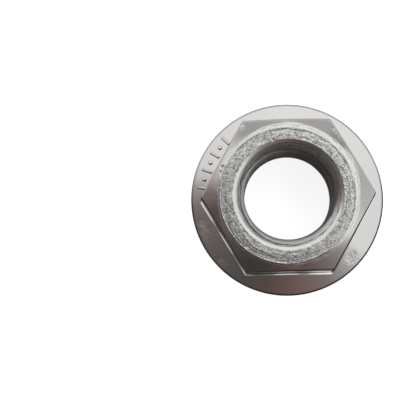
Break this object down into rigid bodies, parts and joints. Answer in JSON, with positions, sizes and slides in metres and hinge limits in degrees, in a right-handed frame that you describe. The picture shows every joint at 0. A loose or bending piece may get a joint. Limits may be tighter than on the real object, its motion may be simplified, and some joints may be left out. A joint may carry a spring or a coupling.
{
  "type": "serrated flange nut",
  "caption": "Hexagon nut with an integral round flange, chamfered free end, tapped bore and ratchet serrations under the flange.",
  "frame": {"origin": "thread axis at the plane of the serration crests, where the nut bears", "axes": "+Z along the thread axis, from the serrated face to the free end; +Y and -Y square to two flats of the hexagon"},
  "size_m": [0.0196, 0.0196, 0.0095],
  "materials": {
    "stainless_steel": "cold-forged stainless steel, bright and lightly scratched, with a matt grained end face"
  },
  "bodies": {
    "root": {"flange_nut": "stainless_steel"}
  },
  "joints": []
}
